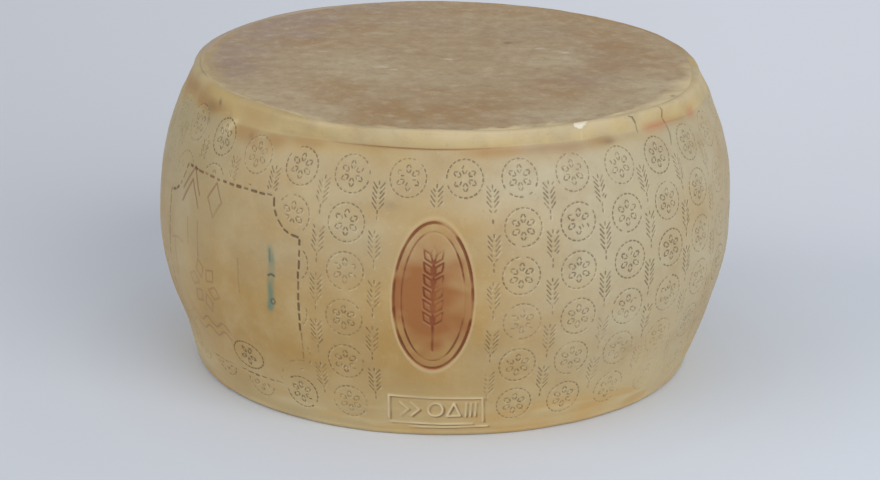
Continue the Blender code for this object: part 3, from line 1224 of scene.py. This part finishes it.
def face_marks(x, y, out, bearing, noises):
    """The layers of marks on the face, by name, each from 0 to 1."""
    broad, middling, fine = noises
    marks = {
        mark: unit(patches(x, y, places) * (1.0 + 0.35 * middling + 0.3 * broad))
        for mark, places in (("ochre", OCHRE_PATCHES), ("mauve", MAUVE_PATCHES), ("pale", PALE_PATCHES))
    }
    marks["spot"] = patches(x, y, FACE_SPOTS)
    marks["scar"] = patches(x, y, SCARS) * unit(0.8 + 0.5 * fine)
    wide = stretches_round(bearing, EDGE_WIDER)
    seen = ease((106.0 - np.abs(from_bearing(bearing, -2.0))) / 30.0)
    seen *= 1.0 - 0.70 * near(bearing, -76.0, 32.0)
    ragged = wide + 0.015 * middling + 0.006 * fine
    marks["edge"] = seen * ease((out - 0.976 + ragged) / (0.030 + wide))
    marks["tan"] = near(bearing, -86.0, 28.0) * ease((out - 0.945 + ragged) / 0.03)
    return marks


def make_face(material, shift):
    """The worn top face, in quarters, lying a little below the rim and running in under it."""
    x, y = disc_sheet(FACE_STEPS)
    bearing = np.degrees(np.arctan2(x, -y))
    out = np.hypot(x, y)
    by_edge = out**6
    sink = FACE_SINK * (1.0 - merged(bearing))
    level = HEIGHT - sink - EDGE_DOWN_SHARE * wander_round(EDGE_WANDER, bearing) * by_edge
    radius = FACE_RADIUS + (crest_radius(bearing) - FACE_UNDER_RIM - FACE_RADIUS) * by_edge
    x, y = x * radius, y * radius
    noises = [drift(x.shape, (cells, cells), SEED + seed) for cells, seed in FACE_NOISES]
    relief = sum(height * noise for height, noise in zip(FACE_HEIGHTS, noises))
    points = uneven(x, y, level) + shift
    points = raised(points, relief * ease((1.0 - out) * 60.0), normal_sign=-1.0)
    marks = face_marks(x, y, out, bearing, noises[:3])
    make_quarters("face_quarter", points, marks, FACE_STEPS, FACE_APEX, material)


def make_base(material, shift):
    """The flat base, in quarters, lying a little inside the foot."""
    x, y = disc_sheet(BASE_STEPS)
    wear = drift(x.shape, (24, 24), SEED + 60)
    points = uneven(x * BASE_RADIUS, y * BASE_RADIUS, np.full_like(x, BASE_SINK)) + shift
    points[..., 2] += BASE_WEAR * np.abs(wear) * ease((1.0 - np.hypot(x, y)) * 30.0)
    marks = {"ochre": unit(0.4 + 0.4 * wear)}
    make_quarters("base_quarter", points, marks, BASE_STEPS, BASE_APEX, material)


# ---- Materials ----


def tone(red, green, blue):
    """A colour from screen values of 0 to 255, as a shader takes it."""
    values = []
    for level in (red, green, blue):
        share = level / 255.0
        values.append(share / 12.92 if share <= 0.04045 else ((share + 0.055) / 1.055) ** 2.4)
    return (*values, 1.0)


def feed(tree, socket, value):
    """Links a socket to another one, or gives it a value."""
    if isinstance(value, bpy.types.NodeSocket):
        tree.links.new(value, socket)
    else:
        socket.default_value = value


def add_node(tree, kind, settings=None, **sockets):
    """A node with its settings and the values or links of its sockets; _ in a name stands for a space."""
    node = tree.nodes.new(kind)
    for name, value in (settings or {}).items():
        setattr(node, name, value)
    for name, value in sockets.items():
        feed(tree, node.inputs[name.replace("_", " ")], value)
    return node


def add_mask(tree, name):
    """The mark of this name on the piece's own surface."""
    return add_node(tree, "ShaderNodeAttribute", {"attribute_name": name}).outputs["Fac"]


def add_place(tree):
    return add_node(tree, "ShaderNodeTexCoord").outputs["Object"]


def add_noise(tree, scale, detail, **sockets):
    sockets.update(Vector=add_place(tree), Scale=scale, Detail=detail)
    return add_node(tree, "ShaderNodeTexNoise", **sockets).outputs["Fac"]


def add_math(tree, operation, first, second):
    node = add_node(tree, "ShaderNodeMath", {"operation": operation})
    for socket, value in zip(node.inputs, (first, second)):
        feed(tree, socket, value)
    return node.outputs["Value"]


def add_mix(tree, share, first, second):
    """One colour laid over another by a share; the node's colour sockets are found by their place."""
    node = add_node(tree, "ShaderNodeMix", {"data_type": "RGBA", "clamp_factor": True})
    for place, value in ((0, share), (6, first), (7, second)):
        feed(tree, node.inputs[place], value)
    return node.outputs[2]


def add_range(tree, value, low, high, to_low=0.0, to_high=1.0):
    ends = {"From_Min": low, "From_Max": high, "To_Min": to_low, "To_Max": to_high}
    return add_node(tree, "ShaderNodeMapRange", Value=value, **ends).outputs["Result"]


def new_group(name, inputs, output, kind):
    """An empty node group with colours and numbers by name as its inputs, and one output."""
    tree = bpy.data.node_groups.new(name, "ShaderNodeTree")
    for label, value in inputs.items():
        taken = "NodeSocketColor" if isinstance(value, tuple) else "NodeSocketFloat"
        socket = tree.interface.new_socket(label, in_out="INPUT", socket_type=taken)
        socket.default_value = value
    tree.interface.new_socket(output, in_out="OUTPUT", socket_type=kind)
    return tree, tree.nodes.new("NodeGroupInput").outputs, tree.nodes.new("NodeGroupOutput").inputs


def mottle_group():
    """Cloudy variation of a colour between a darker and a lighter one."""
    inputs = {"Colour": GREY, "Dark": GREY, "Light": GREY, "Scale": 30.0, "Amount": 0.5}
    tree, taken, given = new_group("mottle", inputs, "Colour", "NodeSocketColor")
    cloud = add_noise(tree, taken["Scale"], 6.0, Roughness=0.6)
    shade = taken["Colour"]
    for over, start, end in (("Dark", 0.50, 0.30), ("Light", 0.52, 0.72)):
        share = add_math(tree, "MULTIPLY", add_range(tree, cloud, start, end), taken["Amount"])
        shade = add_mix(tree, share, shade, taken[over])
    tree.links.new(shade, given["Colour"])
    return tree


def speckle_group():
    """Scattered small specks as a mask."""
    inputs = {"Scale": 300.0, "Share": 0.3}
    tree, taken, given = new_group("speckle", inputs, "Mask", "NodeSocketFloat")
    grain = add_noise(tree, taken["Scale"], 3.0, Roughness=0.55)
    low = add_math(tree, "SUBTRACT", 0.78, taken["Share"])
    high = add_math(tree, "ADD", low, 0.14)
    tree.links.new(add_range(tree, grain, low, high), given["Mask"])
    return tree


def skin_group():
    """The fine grain of a rind's surface as a normal."""
    inputs = {"Scale": 500.0, "Strength": 0.3, "Distance": 0.0002}
    tree, taken, given = new_group("skin", inputs, "Normal", "NodeSocketVector")
    bump = {"Height": add_noise(tree, taken["Scale"], 4.0, Roughness=0.6)}
    bump.update(Strength=taken["Strength"], Distance=taken["Distance"])
    tree.links.new(add_node(tree, "ShaderNodeBump", **bump).outputs["Normal"], given["Normal"])
    return tree


def add_group(tree, group, **sockets):
    return add_node(tree, "ShaderNodeGroup", {"node_tree": group}, **sockets).outputs[0]


def add_layers(tree, colour, layers):
    """Colours laid over another, each by its own mark and share."""
    for mark, share, over in layers:
        mask = add_math(tree, "MULTIPLY", add_mask(tree, mark), share)
        colour = add_mix(tree, mask, colour, tone(*over))
    return colour


def add_sharp_layers(tree, colour, layers):
    """Colours laid over another by marks whose soft edge is drawn in, so that small dots stay crisp."""
    for mark, share, over in layers:
        mask = add_range(tree, add_mask(tree, mark), 0.15, 0.60, 0.0, share)
        colour = add_mix(tree, mask, colour, tone(*over))
    return colour


def add_mottle(tree, groups, colour, dark, light, scale, amount):
    shades = {"Colour": colour, "Dark": tone(*dark), "Light": tone(*light)}
    return add_group(tree, groups["mottle"], Scale=scale, Amount=amount, **shades)


def add_specks(tree, groups, colour, scale, share, strength, over):
    """Small specks of another colour: how fine, how many, and how strong they are."""
    mask = add_group(tree, groups["speckle"], Scale=scale, Share=share)
    return add_mix(tree, add_math(tree, "MULTIPLY", mask, strength), colour, tone(*over))


def new_material(name):
    material = bpy.data.materials.new(name)
    material.use_nodes = True
    return material, material.node_tree, material.node_tree.nodes["Principled BSDF"]


def finish_shader(tree, shader, colour, roughness, specular, normal=None):
    feed(tree, shader.inputs["Base Color"], colour)
    feed(tree, shader.inputs["Roughness"], roughness)
    shader.inputs["Specular IOR Level"].default_value = specular
    if normal:
        tree.links.new(normal, shader.inputs["Normal"])


def rind_material(groups):
    """The oiled rind of the side and the rim, with all its marks."""
    material, tree, shader = new_material("rind")
    colour = add_mix(tree, add_mask(tree, "warmth"), tone(171, 158, 127), tone(162, 129, 72))
    # The rim's colour, and a painted highlight on its crest
    colour = add_layers(tree, colour, RIM_LAYERS)
    colour = add_mottle(tree, groups, colour, (144, 116, 70), (186, 168, 126), 31.0, 0.34)
    colour = add_specks(tree, groups, colour, 420.0, 0.16, 0.30, (132, 106, 66))
    colour = add_specks(tree, groups, colour, 560.0, 0.17, 0.20, (196, 184, 152))
    # Stains, with painted light and painted highlights among them
    colour = add_layers(tree, colour, STAIN_AND_PAINTED_LIGHT_LAYERS)
    colour = add_sharp_layers(tree, colour, PRESSED_LAYERS)
    # Including the plate's painted highlight and painted shadow
    colour = add_layers(tree, colour, LAST_LAYERS)
    wax = add_range(tree, add_noise(tree, 60.0, 4.0), 0.3, 0.7, 0.42, 0.58)
    skin = add_group(tree, groups["skin"], Scale=700.0, Strength=0.25, Distance=0.0003)
    finish_shader(tree, shader, colour, wax, 0.45, skin)
    return material


def face_material(groups):
    """The worn, brownish top face."""
    material, tree, shader = new_material("worn_face")
    colour = add_layers(tree, tone(167, 145, 112), FACE_LAYERS)
    colour = add_mottle(tree, groups, colour, (146, 120, 90), (186, 170, 144), 88.0, 0.52)
    colour = add_specks(tree, groups, colour, 300.0, 0.26, 0.18, (124, 98, 70))
    colour = add_specks(tree, groups, colour, 190.0, 0.19, 0.23, (194, 178, 148))
    colour = add_layers(tree, colour, FACE_TOP_LAYERS)
    skin = add_group(tree, groups["skin"], Scale=260.0, Strength=0.30, Distance=0.0005)
    finish_shader(tree, shader, colour, 0.72, 0.35, skin)
    return material


def base_material(groups):
    """The base, like the face but plainer."""
    material, tree, shader = new_material("base_rind")
    colour = add_layers(tree, tone(166, 144, 108), (("ochre", 1.0, (146, 114, 74)),))
    colour = add_mottle(tree, groups, colour, (132, 104, 70), (178, 160, 124), 45.0, 0.5)
    skin = add_group(tree, groups["skin"], Scale=300.0, Strength=0.5, Distance=0.0005)
    finish_shader(tree, shader, colour, 0.7, 0.5, skin)
    return material


def floor_material():
    """The studio's pale floor, with painted shade: a little darker to the left and greyer farther back."""
    material, tree, shader = new_material("studio_floor")
    split = add_node(tree, "ShaderNodeSeparateXYZ", Vector=add_place(tree)).outputs
    cloud = add_math(tree, "MULTIPLY", add_noise(tree, 1.2, 2.0), 0.1)
    share = add_math(tree, "ADD", add_range(tree, split["X"], -0.7, 0.3, 0.0, 0.9), cloud)
    # Painted shade: darker to the left, and greyer and a little darker farther back
    near_tone = add_mix(tree, share, tone(199, 203, 210), tone(220, 225, 233))
    far_tone = add_mix(tree, share, tone(196, 199, 203), tone(217, 219, 226))
    colour = add_mix(tree, add_range(tree, split["Y"], 0.10, 0.45), near_tone, far_tone)
    finish_shader(tree, shader, colour, 0.8, 0.2)
    return material


# ---- Studio ----


def make_floor():
    shape = bmesh.new()
    bmesh.ops.create_grid(shape, x_segments=1, y_segments=1, size=FLOOR_HALF_SIZE)
    mesh = bpy.data.meshes.new("studio_floor")
    shape.to_mesh(mesh)
    shape.free()
    mesh.materials.append(floor_material())
    floor = put_in_scene("studio_floor", mesh)


def add_sun(name, bearing, elevation, softness, strength):
    """A soft far light that comes from a bearing, in degrees from the front, and an elevation."""
    light = bpy.data.lights.new(name, "SUN")
    light.energy = strength
    light.angle = math.radians(softness)
    lamp = put_in_scene(name, light)
    lamp.rotation_euler = Euler((math.radians(90.0 - elevation), 0.0, math.radians(bearing)), "XYZ")


def make_light():
    add_sun("key", **KEY)
    add_sun("fill", **FILL)
    world = bpy.data.worlds.new("studio_air")
    world.use_nodes = True
    background = world.node_tree.nodes["Background"]
    background.inputs["Color"].default_value = tone(*SKY_TONE)
    background.inputs["Strength"].default_value = SKY_STRENGTH
    bpy.context.scene.world = world
    bpy.context.scene.view_settings.view_transform = "Standard"


def make_camera():
    """The camera at the photograph's angle, with its slight roll."""
    elevation = math.radians(CAMERA_ELEVATION_DEGREES)
    middle = Vector((0.0, 0.0, 0.5 * HEIGHT * MM))
    eye = middle + CAMERA_DISTANCE * Vector((0.0, -math.cos(elevation), math.sin(elevation)))
    aim = Vector(CAMERA_AIM) - eye
    turn = aim.to_track_quat("-Z", "Y").to_matrix().to_4x4()
    roll = Euler((0.0, 0.0, math.radians(CAMERA_ROLL_DEGREES)), "XYZ").to_matrix().to_4x4()
    lens = bpy.data.cameras.new("camera")
    lens.lens = CAMERA_LENS
    lens.sensor_fit = "HORIZONTAL"
    lens.sensor_width = CAMERA_SENSOR
    lens.clip_end = CAMERA_REACH
    camera = put_in_scene("camera", lens)
    camera.matrix_world = turn @ roll
    camera.location = eye
    bpy.context.scene.camera = camera


def main():
    make_camera()
    make_light()
    make_floor()
    groups = {"mottle": mottle_group(), "speckle": speckle_group(), "skin": skin_group()}
    shift = make_side(rind_material(groups))
    make_face(face_material(groups), shift)
    make_base(base_material(groups), shift)


main()
